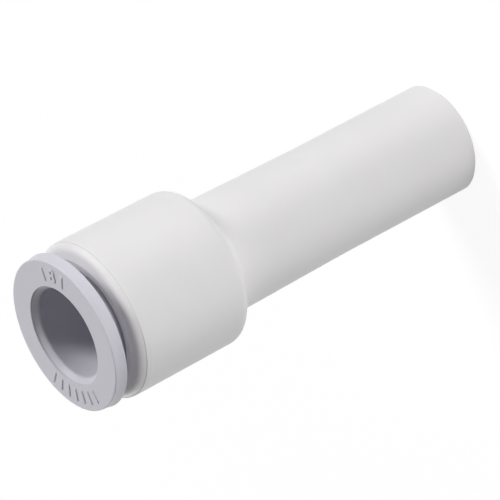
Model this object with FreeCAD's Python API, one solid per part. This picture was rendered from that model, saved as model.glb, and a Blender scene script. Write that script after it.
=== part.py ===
import FreeCAD, Part
import math
import os

# Push-in tube fitting with a plug-in stem, in millimetres.
# Z is the axis of the bore. The stem's end face lies at z = 0 and the release button faces up.

# Sizes that the fitting is sold by
tube_d = 8.0                 # tube that goes into the button
plug_d = 10.0                # stem that plugs into the next fitting
tube_depth = 18.5            # from the button's face to the stop that the tube meets

# Body, outside
stem_h = 27.17               # end face to shoulder
barrel_h = 12.03             # shoulder to mouth
barrel_wall = 1.34           # round the guide
barrel_draft = 0.08          # taken off the radius from mouth to shoulder
stem_draft = 0.22            # added to the radius at the shoulder
plug_h = 14.0                # parallel length of the stem
shoulder_round = 1.0
root_fillet = 0.95
stem_end_chamfer = 0.3       # outside and in the flow bore
crown_drop = 0.24            # the mouth's face slopes down to the lip
lip_inset = 0.3              # the lip leans in from the barrel's edge
lip_round = 0.95
witness_step = 0.07          # the mould's parting line round the lip
witness_below_mouth = 0.75
brim_inset = 0.04            # the barrel narrows a little up to that line
brim_h = 0.45

# Body, inside
pilot_play = 0.05            # round the tube
stop_ledge = 0.75            # what the tube stands on
ledge_chamfer = 0.25

# Release button
press_travel = 1.0
press_reserve = 0.28         # left between flange and mouth when pressed home
flange_t = 1.14
flange_inset = 0.13          # flange edge inside the barrel's edge
flange_flare = 0.13          # the flange widens from its face to its back
flare_h = 0.55               # straight edge before the flare begins
flare_blend = 2.0
flange_back_chamfer = 0.07
face_edge_round = 0.12
button_play = 0.12           # round the tube
button_lead_in = 0.4         # cone that leads the tube in
lead_in_round = 0.3
rim_step = 0.16              # the cone starts below the face
rim_step_draft = 0.05
sleeve_wall = 0.78
snap_rise = 0.22             # bead that keeps the button in the guide
snap_bead_h = 0.5
nose_relief = 0.2            # thinner below the bead
nose_edge = 0.23             # width of the nose's tip
nose_taper_h = 1.2
nose_gap = 0.55              # nose to gripping ring at rest

# Guide ring pressed into the mouth
guide_recess = 0.14
guide_lip_t = 1.41
guide_wall = 0.66
guide_lead_in = 0.2          # chamfer round the sleeve
barb_rise = 0.12
barb_h = 0.6
barb_below_top = 1.71

# Collet
cone_h = 1.9                 # slotted fingers inside the guide
cone_rise = 0.2              # the cone widens towards the seal
collet_catch = 0.16          # base ring held under the guide
collet_base_h = 0.9
seat_below_ledge = 0.2
collet_bore_gap = 0.7        # base ring clear of the tube
finger_slots = 8
finger_slot_w = 0.7

# Gripping ring
ring_t = 0.25
ring_grip = 0.36             # rim held under the fingers' bead
tooth_bite = 0.1             # tooth tips inside the tube's surface
tooth_slope = 45.0           # degrees
tooth_count = 10
tooth_gap = 0.4
tooth_bend_round = 0.3

# Seal
seal_h = 2.3
seal_squeeze = 0.14          # lip inside the tube's surface
seal_lip_h = 0.45            # height of the lip's tip above the gland floor
seal_neck = 0.3              # the seal's back stands clear of the tube
seal_groove_h = 1.1
seal_groove_w = 0.7

# Clearances between the pieces
slide_play = 0.06
turn_play = 0.06
bead_play = 0.12
ring_play = 0.04
stop_play = 0.03
end_gap = 0.12
barb_play = 0.02

# Radii, from the tube outwards
tube_r = tube_d / 2
pilot_r = tube_r + pilot_play
flow_r = pilot_r - stop_ledge
button_bore_r = tube_r + button_play
sleeve_r = button_bore_r + sleeve_wall
nose_r = sleeve_r - nose_relief
nose_tip_r = button_bore_r + nose_edge
snap_r = sleeve_r + snap_rise
guide_lip_r = sleeve_r + slide_play
guide_bore_r = snap_r + bead_play
guide_r = guide_bore_r + guide_wall
guide_mouth_r = guide_bore_r + cone_rise
barb_r = guide_r + barb_rise
barrel_r = guide_r + barrel_wall
barrel_root_r = barrel_r - barrel_draft
chamber_r = guide_mouth_r + collet_catch
collet_base_r = chamber_r - turn_play
finger_top_r = guide_bore_r - turn_play
finger_root_r = guide_mouth_r - turn_play
finger_bore_r = nose_r + slide_play
ring_r = finger_bore_r + ring_grip
ring_recess_r = ring_r + ring_play
collet_bore_r = tube_r + collet_bore_gap
tooth_tip_r = tube_r - tooth_bite
seal_lip_r = tube_r - seal_squeeze
seal_back_r = tube_r + seal_neck
plug_r = plug_d / 2
stem_root_r = plug_r + stem_draft
flange_r = barrel_r - flange_inset
face_r = flange_r - flange_flare

# Heights, from the stem's end face up and from the mouth down
mouth_z = stem_h + barrel_h
flange_back_z = mouth_z + press_travel + press_reserve
face_z = flange_back_z + flange_t
stop_z = face_z - tube_depth
guide_top_z = mouth_z - guide_recess
guide_lip_z = guide_top_z - guide_lip_t
barb_top_z = guide_top_z - barb_below_top
barb_low_z = barb_top_z - barb_h
snap_top_z = guide_lip_z - stop_play
snap_low_z = snap_top_z - snap_bead_h
finger_top_z = snap_low_z - press_travel - end_gap
ledge_z = finger_top_z - cone_h
seat_z = ledge_z - seat_below_ledge
ring_top_z = seat_z + ring_t
recess_top_z = ring_top_z + ring_play
nose_z = ring_top_z + nose_gap
collet_low_z = seat_z - collet_base_h
seal_top_z = collet_low_z - end_gap
gland_z = seal_top_z - seal_h

# A rounding takes at most this share of a side next to it: of one that it has alone, or shares
lone_share = 0.9
shared_share = 0.48


def lathe(corners):
    """Solid turned about Z from a closed half section of (radius, height, rounding) corners."""
    points = [FreeCAD.Vector(corner[0], 0, corner[1]) for corner in corners]
    roundings = [corner[2] if len(corner) > 2 else 0 for corner in corners]
    following = [(i + 1) % len(corners) for i in range(len(corners))]
    rooms = []
    for i, j in enumerate(following):
        share = shared_share if roundings[i] and roundings[j] else lone_share
        rooms.append(share * points[i].distanceToPoint(points[j]))
    joins = []
    for i, j in enumerate(following):
        room = min(rooms[i - 1], rooms[i])
        joins.append(rounded_corner(points[i - 1], points[i], points[j], roundings[i], room))
    edges = []
    for join, j in zip(joins, following):
        if len(join) == 3:
            edges.append(Part.Arc(*join).toShape())
        edges.append(Part.LineSegment(join[-1], joins[j][0]).toShape())
    section = Part.Face(Part.Wire(edges))
    return section.revolve(FreeCAD.Vector(), FreeCAD.Vector(0, 0, 1), 360)


def rounded_corner(before, corner, after, rounding, room):
    """Start, middle and end of the arc at a corner, or the corner alone where it is sharp."""
    if not rounding:
        return (corner,)
    back = before - corner
    ahead = after - corner
    back.normalize()
    ahead.normalize()
    half_angle = back.getAngle(ahead) / 2
    run = min(rounding / math.tan(half_angle), room)
    radius = run * math.tan(half_angle)
    inward = (back + ahead).normalize()
    middle = corner + inward * (radius / math.sin(half_angle) - radius)
    return (corner + back * run, middle, corner + ahead * run)


def turned(shape, angle):
    copy = shape.copy()
    copy.rotate(FreeCAD.Vector(), FreeCAD.Vector(0, 0, 1), angle)
    return copy


def spokes(shape, count):
    """Copies of a shape spread evenly about Z."""
    return [turned(shape, 360 * i / count) for i in range(count)]


def radial_slot(width, low_z, high_z, inner_r, outer_r):
    return Part.makeBox(outer_r - inner_r, width, high_z - low_z,
                        FreeCAD.Vector(inner_r, -width / 2, low_z))


def body():
    """Housing barrel and plug-in stem, moulded in one piece."""
    witness_z = mouth_z - witness_below_mouth
    witness_r = barrel_r - brim_inset
    outside = [
        (flow_r + stem_end_chamfer, 0),
        (plug_r - stem_end_chamfer, 0),
        (plug_r, stem_end_chamfer),
        (plug_r, plug_h),
        (stem_root_r, stem_h, root_fillet),
        (barrel_root_r, stem_h, shoulder_round),
        (barrel_r, witness_z - brim_h),
        (witness_r, witness_z),
        (witness_r - witness_step, witness_z),
        (barrel_r - lip_inset, mouth_z - crown_drop, lip_round),
        (guide_r, mouth_z),
    ]
    inside = [
        (guide_r, barb_top_z + barb_play),
        (barb_r + barb_play, barb_top_z + barb_play),
        (barb_r + barb_play, barb_low_z + barb_h / 2),
        (guide_r, barb_low_z - barb_play),
        (guide_r, ledge_z),
        (chamber_r, ledge_z),
        (chamber_r, gland_z),
        (pilot_r + ledge_chamfer, gland_z),
        (pilot_r, gland_z - ledge_chamfer),
        (pilot_r, stop_z),
        (flow_r + ledge_chamfer, stop_z),
        (flow_r, stop_z - ledge_chamfer),
        (flow_r, stem_end_chamfer),
    ]
    return lathe(outside + inside)


def guide():
    """Ring pressed into the mouth: it keeps the button in and its cone closes the collet."""
    return lathe([
        (guide_lip_r, guide_top_z - guide_lead_in),
        (guide_lip_r + guide_lead_in, guide_top_z),
        (guide_r, guide_top_z),
        (guide_r, barb_top_z),
        (barb_r, barb_top_z),
        (barb_r, barb_low_z + barb_h / 2),
        (guide_r, barb_low_z),
        (guide_r, ledge_z),
        (guide_mouth_r, ledge_z),
        (guide_bore_r, finger_top_z),
        (guide_bore_r, guide_lip_z),
        (guide_lip_r, guide_lip_z),
    ])


def release_button():
    """Flange that is pressed, and the sleeve whose nose spreads the gripping ring."""
    cone_z = face_z - rim_step
    flare_z = face_z - flare_h
    return lathe([
        (button_bore_r, cone_z - button_lead_in, lead_in_round),
        (button_bore_r + button_lead_in, cone_z),
        (button_bore_r + button_lead_in + rim_step_draft, face_z),
        (face_r, face_z, face_edge_round),
        (face_r, flare_z, flare_blend),
        (flange_r, flange_back_z + flange_back_chamfer),
        (flange_r - flange_back_chamfer, flange_back_z),
        (sleeve_r, flange_back_z),
        (sleeve_r, snap_top_z),
        (snap_r, snap_top_z),
        (snap_r, snap_top_z - snap_bead_h / 2),
        (nose_r, snap_low_z),
        (nose_r, nose_z + nose_taper_h),
        (nose_tip_r, nose_z),
        (button_bore_r, nose_z),
    ])


def collet():
    """Slotted ring: its fingers wedge in the guide's cone and its bead holds the gripping ring."""
    blank = lathe([
        (collet_bore_r, collet_low_z),
        (collet_base_r, collet_low_z),
        (collet_base_r, ledge_z - end_gap),
        (finger_root_r, ledge_z),
        (finger_top_r, finger_top_z),
        (finger_bore_r, finger_top_z),
        (finger_bore_r, recess_top_z),
        (ring_recess_r, recess_top_z),
        (ring_recess_r, seat_z),
        (collet_bore_r, seat_z),
    ])
    slot = radial_slot(finger_slot_w, seat_z, finger_top_z + end_gap, collet_bore_r, barrel_r)
    return blank.cut(spokes(slot, finger_slots))


def gripping_ring():
    """Thin steel ring with teeth bent towards the seal, so that a tube goes in but not out."""
    slope = math.radians(tooth_slope)
    slant_t = ring_t / math.cos(slope)
    low_bend_r = collet_bore_r - ring_play
    top_bend_r = low_bend_r - (slant_t - ring_t) / math.tan(slope)
    tip_top_z = ring_top_z - (top_bend_r - tooth_tip_r) * math.tan(slope)
    tip_low_z = tip_top_z - slant_t
    blank = lathe([
        (ring_r, seat_z),
        (ring_r, ring_top_z),
        (top_bend_r, ring_top_z, tooth_bend_round),
        (tooth_tip_r, tip_top_z),
        (tooth_tip_r, tip_low_z),
        (low_bend_r, seat_z, tooth_bend_round - ring_t),
    ])
    low_z = tip_low_z - ring_t
    high_z = ring_top_z + ring_t
    slot = radial_slot(tooth_gap, low_z, high_z, 0, low_bend_r)
    slot_end = Part.makeCylinder(tooth_gap / 2, high_z - low_z, FreeCAD.Vector(low_bend_r, 0, low_z))
    split = radial_slot(tooth_gap, low_z, high_z, 0, barrel_r)
    return blank.cut(spokes(slot.fuse(slot_end), tooth_count) + [split])


def seal():
    """Lip seal in the gland below the collet, open on the side that the pressure comes from."""
    lip_z = gland_z + seal_lip_h
    groove_top_z = gland_z + seal_groove_h
    groove_mid_r = (seal_lip_r + chamber_r) / 2
    return lathe([
        (seal_back_r, seal_top_z),
        (chamber_r, seal_top_z),
        (chamber_r, gland_z),
        (groove_mid_r + seal_groove_w / 2, gland_z),
        (groove_mid_r, groove_top_z),
        (groove_mid_r - seal_groove_w / 2, gland_z),
        (seal_back_r, gland_z),
        (seal_lip_r, lip_z),
        (seal_back_r, groove_top_z),
    ])


PIECES = {
    "body": body,
    "guide": guide,
    "release_button": release_button,
    "collet": collet,
    "gripping_ring": gripping_ring,
    "seal": seal,
}

os.makedirs("parts", exist_ok=True)
for name, make in PIECES.items():
    make().exportStep(f"parts/{name}.step")
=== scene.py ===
import math

import bpy
import bmesh
from mathutils import Matrix, Vector
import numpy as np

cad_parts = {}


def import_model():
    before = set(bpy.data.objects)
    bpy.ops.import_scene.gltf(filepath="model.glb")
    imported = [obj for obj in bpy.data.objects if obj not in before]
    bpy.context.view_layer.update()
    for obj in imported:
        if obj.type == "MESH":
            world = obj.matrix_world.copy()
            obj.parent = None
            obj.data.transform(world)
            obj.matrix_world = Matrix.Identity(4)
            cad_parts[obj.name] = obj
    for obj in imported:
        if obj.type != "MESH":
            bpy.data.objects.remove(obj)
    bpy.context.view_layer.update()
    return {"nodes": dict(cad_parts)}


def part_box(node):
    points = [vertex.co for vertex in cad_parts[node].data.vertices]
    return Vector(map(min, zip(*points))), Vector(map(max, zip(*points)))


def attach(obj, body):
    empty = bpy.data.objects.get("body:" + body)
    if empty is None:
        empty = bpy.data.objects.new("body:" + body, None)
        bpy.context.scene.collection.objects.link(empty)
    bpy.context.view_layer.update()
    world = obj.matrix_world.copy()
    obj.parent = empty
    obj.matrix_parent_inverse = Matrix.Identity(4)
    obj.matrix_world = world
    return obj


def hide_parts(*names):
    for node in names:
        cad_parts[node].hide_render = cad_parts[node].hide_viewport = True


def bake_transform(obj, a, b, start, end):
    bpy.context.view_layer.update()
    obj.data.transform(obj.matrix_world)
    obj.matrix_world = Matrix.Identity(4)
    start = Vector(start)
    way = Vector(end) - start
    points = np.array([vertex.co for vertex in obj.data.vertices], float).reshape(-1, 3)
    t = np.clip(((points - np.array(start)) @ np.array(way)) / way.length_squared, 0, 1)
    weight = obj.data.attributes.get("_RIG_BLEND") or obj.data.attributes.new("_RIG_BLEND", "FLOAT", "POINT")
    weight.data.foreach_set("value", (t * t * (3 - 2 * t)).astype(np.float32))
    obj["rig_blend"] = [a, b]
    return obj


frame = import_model()

MM = 0.001
UP = Vector((0, 0, 1))

# Camera, from the picture: the bore's axis is seen at this tilt and turn, and the middle of the
# button's face lies at this pixel and distance
PICTURE_SIDE = 500
FOCAL_PX = 5590.35
SENSOR_WIDTH = 36.0
AXIS_TILT = math.radians(60.73)
AXIS_TURN = math.radians(27.94)
FACE_PX = (63.92, 335.89)
FACE_DISTANCE = 466.87 * MM

# Colours
BODY_WHITE = (0.832, 0.819, 0.825)
BUTTON_GREY = (0.664, 0.652, 0.717)
GUIDE_GREY = (0.70, 0.70, 0.70)
COLLET_WHITE = (0.74, 0.72, 0.64)
STEEL_GREY = (0.60, 0.60, 0.59)
RUBBER_BLACK = (0.018, 0.018, 0.019)
FLOOR_PALE = 0.86

# Plastic and rubber: index of refraction, and how deep red, green and blue light go into plastic
PLASTIC_IOR = 1.5
RUBBER_IOR = 1.52
SKIN_DEPTH = 0.6 * MM
SKIN_SHARES = (1.0, 0.95, 0.9)

# Raised marks on the button's face: a row of ribs, and the tube's size between two more
MARK_HEIGHT = 0.08 * MM
MARK_SUNK = 0.03 * MM
RIB_HALF_WIDTH = 0.16 * MM
RIB_INNER_R = 5.05 * MM
RIB_OUTER_R = 6.35 * MM
RIB_ROW = [math.radians(angle) for angle in range(118, 179, 10)]
SIZE_ANGLE = math.radians(327)
SIZE_FLANK = math.radians(13)
SIZE_TEXT = "8"
SIZE_TEXT_HEIGHT = 1.3 * MM
SIZE_TEXT_EDGE = 0.03 * MM
FIGURE_SHARE = 0.73          # a figure's height in the font's own size
END_STEPS = 12               # steps round a rib's end, and up its side
SIDE_STEPS = 6

# Gripping ring: the teeth bend between these distances from the axis
TOOTH_ROOT_R = 4.62 * MM
TOOTH_TIP_R = 4.0 * MM

# Light: soft round lamps above, and low wide ones near the floor that light the sides alone
LAMPS = {
    # name: (azimuth, elevation, distance, width, height, watts)
    "key": (0, 35, 0.8, 0.3, 0.3, 4.19),
    "back": (90, 35, 0.8, 0.3, 0.3, 0.87),
    "top": (270, 80, 0.8, 0.3, 0.3, 0.77),
    "front": (270, 3.7, 0.3, 0.2, 0.07, 0.169),
    "near": (255, -0.3, 0.15, 0.12, 0.03, 0.061),
    "fill": (120, 3.7, 0.3, 0.2, 0.07, 0.27),
}
AMBIENT = 0.001
FLOOR_GLOW = 0.88            # the floor as it is seen is this white, and the rest is lit
FLOOR_SHADED = 0.18
FLOOR_RADIUS = 3
FLOOR_SIDES = 96

face_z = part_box("release_button")[1].z
fitting_centre = Vector((0, 0, face_z / 2))


def node_material(name):
    material = bpy.data.materials.new(name)
    material.use_nodes = True
    return material, material.node_tree.nodes, material.node_tree.links


def noise(nodes, links, scale, detail, stretch=(1, 1, 1)):
    """Noise that is fixed to the piece, so many to the metre, and stretched along the axes."""
    place = nodes.new("ShaderNodeTexCoord")
    spread = nodes.new("ShaderNodeMapping")
    spread.inputs["Scale"].default_value = stretch
    pattern = nodes.new("ShaderNodeTexNoise")
    pattern.inputs["Scale"].default_value = scale
    pattern.inputs["Detail"].default_value = detail
    links.new(place.outputs["Object"], spread.inputs["Vector"])
    links.new(spread.outputs["Vector"], pattern.inputs["Vector"])
    return pattern.outputs["Fac"]


def shaded_colour(nodes, links, shader, pattern, colour, spread):
    """Base colour that strays by a small share from dark to light with the pattern."""
    shades = nodes.new("ShaderNodeValToRGB")
    dark, light = shades.color_ramp.elements
    dark.position = 0.3
    light.position = 0.7
    dark.color = [c * (1 - spread) for c in colour] + [1]
    light.color = [c * (1 + spread) for c in colour] + [1]
    links.new(pattern, shades.inputs["Fac"])
    links.new(shades.outputs["Color"], shader.inputs["Base Color"])


def uneven_gloss(nodes, links, shader, pattern, low, high):
    """Roughness that goes from low to high with the pattern."""
    gloss = nodes.new("ShaderNodeMapRange")
    gloss.inputs["To Min"].default_value = low
    gloss.inputs["To Max"].default_value = high
    links.new(pattern, gloss.inputs["Value"])
    links.new(gloss.outputs["Result"], shader.inputs["Roughness"])


def relief(nodes, links, shader, pattern, strength, depth):
    """Surface that rises and falls with the pattern."""
    bump = nodes.new("ShaderNodeBump")
    bump.inputs["Strength"].default_value = strength
    bump.inputs["Distance"].default_value = depth
    links.new(pattern, bump.inputs["Height"])
    links.new(bump.outputs["Normal"], shader.inputs["Normal"])


def moulded_plastic(name, colour, roughness, glow):
    """Satin moulding: faint clouding of the colour, uneven gloss and a fine skin from the mould."""
    material, nodes, links = node_material(name)
    shader = nodes["Principled BSDF"]
    shader.inputs["IOR"].default_value = PLASTIC_IOR
    shader.inputs["Subsurface Weight"].default_value = glow
    shader.inputs["Subsurface Radius"].default_value = SKIN_SHARES
    shader.inputs["Subsurface Scale"].default_value = SKIN_DEPTH
    clouds = noise(nodes, links, scale=220, detail=3)
    shaded_colour(nodes, links, shader, clouds, colour, spread=0.01)
    skin = noise(nodes, links, scale=5200, detail=4)
    uneven_gloss(nodes, links, shader, skin, low=roughness - 0.06, high=roughness + 0.06)
    relief(nodes, links, shader, skin, strength=0.25, depth=0.01 * MM)
    return material


def spring_steel(name):
    """Thin strip with the grain that rolling leaves in it, all one way."""
    material, nodes, links = node_material(name)
    shader = nodes["Principled BSDF"]
    shader.inputs["Metallic"].default_value = 1
    grain = noise(nodes, links, scale=9000, detail=3, stretch=(1, 0.06, 1))
    shaded_colour(nodes, links, shader, grain, STEEL_GREY, spread=0.06)
    uneven_gloss(nodes, links, shader, grain, low=0.22, high=0.38)
    relief(nodes, links, shader, grain, strength=0.2, depth=0.005 * MM)
    return material


def moulded_rubber(name):
    """Black rubber, clouded and slightly rough."""
    material, nodes, links = node_material(name)
    shader = nodes["Principled BSDF"]
    shader.inputs["IOR"].default_value = RUBBER_IOR
    clouds = noise(nodes, links, scale=600, detail=4)
    shaded_colour(nodes, links, shader, clouds, RUBBER_BLACK, spread=0.2)
    skin = noise(nodes, links, scale=9000, detail=5)
    uneven_gloss(nodes, links, shader, skin, low=0.48, high=0.62)
    relief(nodes, links, shader, skin, strength=0.4, depth=0.012 * MM)
    return material


def dress(node, material):
    """Gives a CAD node its material."""
    piece = frame["nodes"][node]
    piece.data.materials.clear()
    piece.data.materials.append(material)


def ridge(shape, start, end):
    """Raised rib with round ends and a round back, from one point of the face to another."""
    along = (end - start).normalized()
    across = UP.cross(along)
    start = start + along * RIB_HALF_WIDTH
    end = end - along * RIB_HALF_WIDTH

    # Long loops one above the other, from the sunk foot up the rounded side
    levels = [(1, -MARK_SUNK)]
    for i in range(SIDE_STEPS):
        rise = math.radians(90) * i / SIDE_STEPS
        levels.append((math.cos(rise), MARK_HEIGHT * math.sin(rise)))
    rings = []
    for reach, height in levels:
        ring = []
        for middle, forward in ((end, 1), (start, -1)):
            for i in range(END_STEPS + 1):
                swing = math.pi * i / END_STEPS
                offset = (across * math.cos(swing) + along * math.sin(swing)) * forward
                point = middle + offset * RIB_HALF_WIDTH * reach
                ring.append(shape.verts.new(point + UP * height))
        rings.append(ring)
    count = len(rings[0])
    for low, high in zip(rings, rings[1:]):
        for i in range(count):
            j = (i + 1) % count
            shape.faces.new((low[j], low[i], high[i], high[j]))
    shape.faces.new(rings[0])

    # The back runs between two peaks: a fan round each end, and a strip along each side
    top = rings[-1]
    peaks = [shape.verts.new(point + UP * MARK_HEIGHT) for point in (end, start)]
    for half, peak in enumerate(peaks):
        first = half * (END_STEPS + 1)
        for i in range(first, first + END_STEPS):
            shape.faces.new((top[i + 1], top[i], peak))
    for a, b, near, far in ((END_STEPS, END_STEPS + 1, 0, 1), (count - 1, 0, 1, 0)):
        shape.faces.new((top[b], top[a], peaks[near], peaks[far]))


def on_face(radius, angle):
    """Point of the button's face."""
    return Vector((radius * math.cos(angle), radius * math.sin(angle), face_z))


def mark_piece(name, data, material):
    """Piece of the button, with the button's material."""
    piece = bpy.data.objects.new(name, data)
    data.materials.append(material)
    bpy.context.scene.collection.objects.link(piece)
    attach(piece, "button")
    return piece


def ribs(name, angles, material):
    """Ribs that point at the axis, one at each angle."""
    shape = bmesh.new()
    for angle in angles:
        ridge(shape, on_face(RIB_INNER_R, angle), on_face(RIB_OUTER_R, angle))
    bmesh.ops.recalc_face_normals(shape, faces=shape.faces)
    mesh = bpy.data.meshes.new(name)
    shape.to_mesh(mesh)
    shape.free()
    mesh.shade_smooth()
    mark_piece(name, mesh, material)


def size_number(name, material):
    """The tube's size, raised as flat strokes with rounded edges, its foot towards the bore."""
    text = bpy.data.curves.new(name, "FONT")
    text.body = SIZE_TEXT
    text.align_x = "CENTER"
    text.align_y = "CENTER"
    text.size = SIZE_TEXT_HEIGHT / FIGURE_SHARE
    text.bevel_depth = SIZE_TEXT_EDGE
    text.bevel_resolution = 2
    text.extrude = (MARK_HEIGHT + MARK_SUNK) / 2 - SIZE_TEXT_EDGE
    piece = mark_piece(name, text, material)
    middle = on_face((RIB_INNER_R + RIB_OUTER_R) / 2, SIZE_ANGLE)
    piece.location = middle + UP * (MARK_HEIGHT - MARK_SUNK) / 2
    piece.rotation_euler.z = SIZE_ANGLE - math.radians(90)


def bending_ring():
    """The gripping ring as a piece whose teeth bend down when the button's nose comes to them."""
    ring = bpy.data.objects.new("toothed_ring", frame["nodes"]["gripping_ring"].data.copy())
    bpy.context.scene.collection.objects.link(ring)
    low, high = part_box("gripping_ring")
    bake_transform(ring, "grip", "button", start=(0, 0, high.z), end=(0, 0, low.z))
    # Here the rim stays and the teeth's tips follow the button, so the shares go by the distance
    # from the axis
    shares = ring.data.attributes["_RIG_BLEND"].data
    for vertex, share in zip(ring.data.vertices, shares):
        along = (TOOTH_ROOT_R - vertex.co.xy.length) / (TOOTH_ROOT_R - TOOTH_TIP_R)
        along = min(max(along, 0), 1)
        share.value = along * along * (3 - 2 * along)
    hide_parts("gripping_ring")


def lamp(name, azimuth, elevation, distance, width, height, power):
    """Soft oval at a direction from the fitting's middle, facing it."""
    data = bpy.data.lights.new(name, "AREA")
    data.shape = "ELLIPSE"
    data.size = width
    data.size_y = height
    data.energy = power
    light = bpy.data.objects.new(name, data)
    bpy.context.scene.collection.objects.link(light)
    azimuth, elevation = math.radians(azimuth), math.radians(elevation)
    out = Vector((math.cos(azimuth) * math.cos(elevation),
                  math.sin(azimuth) * math.cos(elevation),
                  math.sin(elevation)))
    light.location = fitting_centre + out * distance
    light.rotation_mode = "QUATERNION"
    light.rotation_quaternion = out.to_track_quat("Z", "Y")


def camera():
    """Camera whose picture has the bore's axis at the tilt, turn, place and size given above."""
    axis = Vector((math.cos(AXIS_TURN) * math.sin(AXIS_TILT),
                   -math.sin(AXIS_TURN) * math.sin(AXIS_TILT),
                   math.cos(AXIS_TILT)))
    seen_z = -axis
    seen_x = Vector((-math.sin(AXIS_TURN), -math.cos(AXIS_TURN), 0))
    seen_y = seen_z.cross(seen_x)
    to_world = Matrix((seen_x, seen_y, seen_z))
    middle = PICTURE_SIDE / 2
    face_seen = Vector(((FACE_PX[0] - middle) / FOCAL_PX, (FACE_PX[1] - middle) / FOCAL_PX, 1))
    place = UP * face_z - to_world @ (face_seen * FACE_DISTANCE)
    right = to_world @ Vector((1, 0, 0))
    up = to_world @ Vector((0, -1, 0))
    back = to_world @ Vector((0, 0, -1))

    data = bpy.data.cameras.new("camera")
    data.sensor_width = SENSOR_WIDTH
    data.lens = FOCAL_PX * SENSOR_WIDTH / PICTURE_SIDE
    data.clip_start = 0.01
    data.clip_end = 20
    eye = bpy.data.objects.new("camera", data)
    eye.matrix_world = Matrix.Translation(place) @ Matrix((right, up, back)).transposed().to_4x4()
    bpy.context.scene.collection.objects.link(eye)
    bpy.context.scene.camera = eye


def seen_directly(nodes, links):
    """1 for a ray from the camera or off a shiny or clear piece, 0 for light on its way to one."""
    path = nodes.new("ShaderNodeLightPath")
    seen = path.outputs["Is Camera Ray"]
    for kind in ("Is Glossy Ray", "Is Transmission Ray"):
        either = nodes.new("ShaderNodeMath")
        either.operation = "MAXIMUM"
        links.new(seen, either.inputs[0])
        links.new(path.outputs[kind], either.inputs[1])
        seen = either.outputs["Value"]
    return seen


def floor():
    """Pale floor that lights the fitting as it is, and is seen as white with a faint shadow."""
    mesh = bpy.data.meshes.new("floor")
    shape = bmesh.new()
    bmesh.ops.create_circle(shape, cap_ends=True, radius=FLOOR_RADIUS, segments=FLOOR_SIDES)
    shape.to_mesh(mesh)
    shape.free()
    ground = bpy.data.objects.new("floor", mesh)
    bpy.context.scene.collection.objects.link(ground)
    material, nodes, links = node_material("floor")
    shader = nodes["Principled BSDF"]
    shader.inputs["Base Color"].default_value = (FLOOR_PALE, FLOOR_PALE, FLOOR_PALE, 1)
    shader.inputs["Roughness"].default_value = 0.9
    shader.inputs["Specular IOR Level"].default_value = 0.1
    glow = nodes.new("ShaderNodeEmission")
    glow.inputs["Strength"].default_value = FLOOR_GLOW
    shadowed = nodes.new("ShaderNodeBsdfDiffuse")
    shadowed.inputs["Color"].default_value = (FLOOR_SHADED, FLOOR_SHADED, FLOOR_SHADED, 1)
    white = nodes.new("ShaderNodeAddShader")
    links.new(glow.outputs["Emission"], white.inputs[0])
    links.new(shadowed.outputs["BSDF"], white.inputs[1])
    blend = nodes.new("ShaderNodeMixShader")
    links.new(seen_directly(nodes, links), blend.inputs["Fac"])
    links.new(shader.outputs["BSDF"], blend.inputs[1])
    links.new(white.outputs["Shader"], blend.inputs[2])
    links.new(blend.outputs["Shader"], nodes["Material Output"].inputs["Surface"])
    material.cycles.emission_sampling = "NONE"
    mesh.materials.append(material)


def world():
    """White where it is seen, and almost dark for the light on the fitting."""
    surroundings = bpy.data.worlds.new("world")
    surroundings.use_nodes = True
    bpy.context.scene.world = surroundings
    nodes = surroundings.node_tree.nodes
    links = surroundings.node_tree.links
    ambient = nodes["Background"]
    ambient.inputs["Color"].default_value = (1, 1, 1, 1)
    ambient.inputs["Strength"].default_value = AMBIENT
    white = nodes.new("ShaderNodeBackground")
    white.inputs["Color"].default_value = (1, 1, 1, 1)
    blend = nodes.new("ShaderNodeMixShader")
    links.new(seen_directly(nodes, links), blend.inputs["Fac"])
    links.new(ambient.outputs["Background"], blend.inputs[1])
    links.new(white.outputs["Background"], blend.inputs[2])
    links.new(blend.outputs["Shader"], nodes["World Output"].inputs["Surface"])
    surroundings.cycles.sampling_method = "NONE"


button_plastic = moulded_plastic("button_plastic", BUTTON_GREY, roughness=0.5, glow=0.1)
body_plastic = moulded_plastic("body_plastic", BODY_WHITE, roughness=0.55, glow=0.1)
guide_plastic = moulded_plastic("guide_plastic", GUIDE_GREY, roughness=0.45, glow=0)
collet_plastic = moulded_plastic("collet_plastic", COLLET_WHITE, roughness=0.4, glow=0.15)
dress("body", body_plastic)
dress("guide", guide_plastic)
dress("release_button", button_plastic)
dress("collet", collet_plastic)
dress("gripping_ring", spring_steel("ring_steel"))
dress("seal", moulded_rubber("seal_rubber"))

bending_ring()

ribs("button_ribs", RIB_ROW, button_plastic)
ribs("size_ribs", [SIZE_ANGLE - SIZE_FLANK, SIZE_ANGLE + SIZE_FLANK], button_plastic)
size_number("size_number", button_plastic)

camera()
floor()
world()
for name, values in LAMPS.items():
    lamp(name, *values)

bpy.context.scene.view_settings.view_transform = "Standard"
